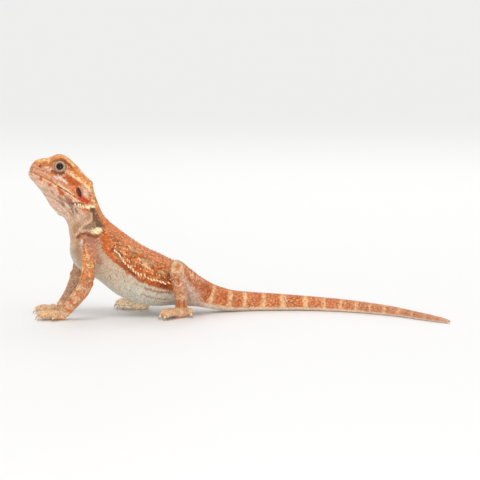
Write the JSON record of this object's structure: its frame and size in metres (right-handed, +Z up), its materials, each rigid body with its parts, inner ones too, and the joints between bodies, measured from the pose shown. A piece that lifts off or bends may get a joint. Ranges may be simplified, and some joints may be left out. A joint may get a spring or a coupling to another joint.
{
  "type": "bearded dragon model",
  "caption": "Young bearded dragon standing with its front raised on straight arms, head lifted, tail curving away along the floor; a still life-size model.",
  "frame": {"origin": "middle of the bottom of the bounding box, on the floor", "axes": "+Z up; the animal faces -Y, its left side is +X and the tail runs towards +Y"},
  "size_m": [0.093, 0.2236, 0.09],
  "materials": {
    "skin_orange": "matt, finely scaled, mottled orange, rust and tan",
    "skin_tan": "matt, finely scaled, tan with rust bands",
    "skin_cream": "matt, finely scaled, cream",
    "eye": "wet gloss",
    "claw": "satin horn"
  },
  "bodies": {
    "root": {"eye_left": "eye", "eye_right": "eye", "foot_left": "skin_tan", "foot_left_claw_1": "claw", "foot_left_claw_2": "claw", "foot_left_claw_3": "claw", "foot_left_claw_4": "claw", "foot_left_claw_5": "claw", "foot_right": "skin_tan", "foot_right_claw_1": "claw", "foot_right_claw_2": "claw", "foot_right_claw_3": "claw", "foot_right_claw_4": "claw", "foot_right_claw_5": "claw", "forearm_left": "skin_tan", "forearm_right": "skin_tan", "hand_left": "skin_tan", "hand_left_claw_1": "claw", "hand_left_claw_2": "claw", "hand_left_claw_3": "claw", "hand_left_claw_4": "claw", "hand_left_claw_5": "claw", "hand_right": "skin_tan", "hand_right_claw_1": "claw", "hand_right_claw_2": "claw", "hand_right_claw_3": "claw", "hand_right_claw_4": "claw", "hand_right_claw_5": "claw", "jaw": "skin_cream", "neck": "skin_cream", "shin_left": "skin_tan", "shin_right": "skin_tan", "skull": "skin_orange", "tail_1": "skin_orange", "tail_2": "skin_orange", "tail_3": "skin_orange", "tail_4": "skin_orange", "tail_5": "skin_orange", "thigh_left": "skin_tan", "thigh_right": "skin_tan", "trunk_front": "skin_orange", "trunk_rear": "skin_orange", "upper_arm_left": "skin_tan", "upper_arm_right": "skin_tan"}
  },
  "joints": []
}
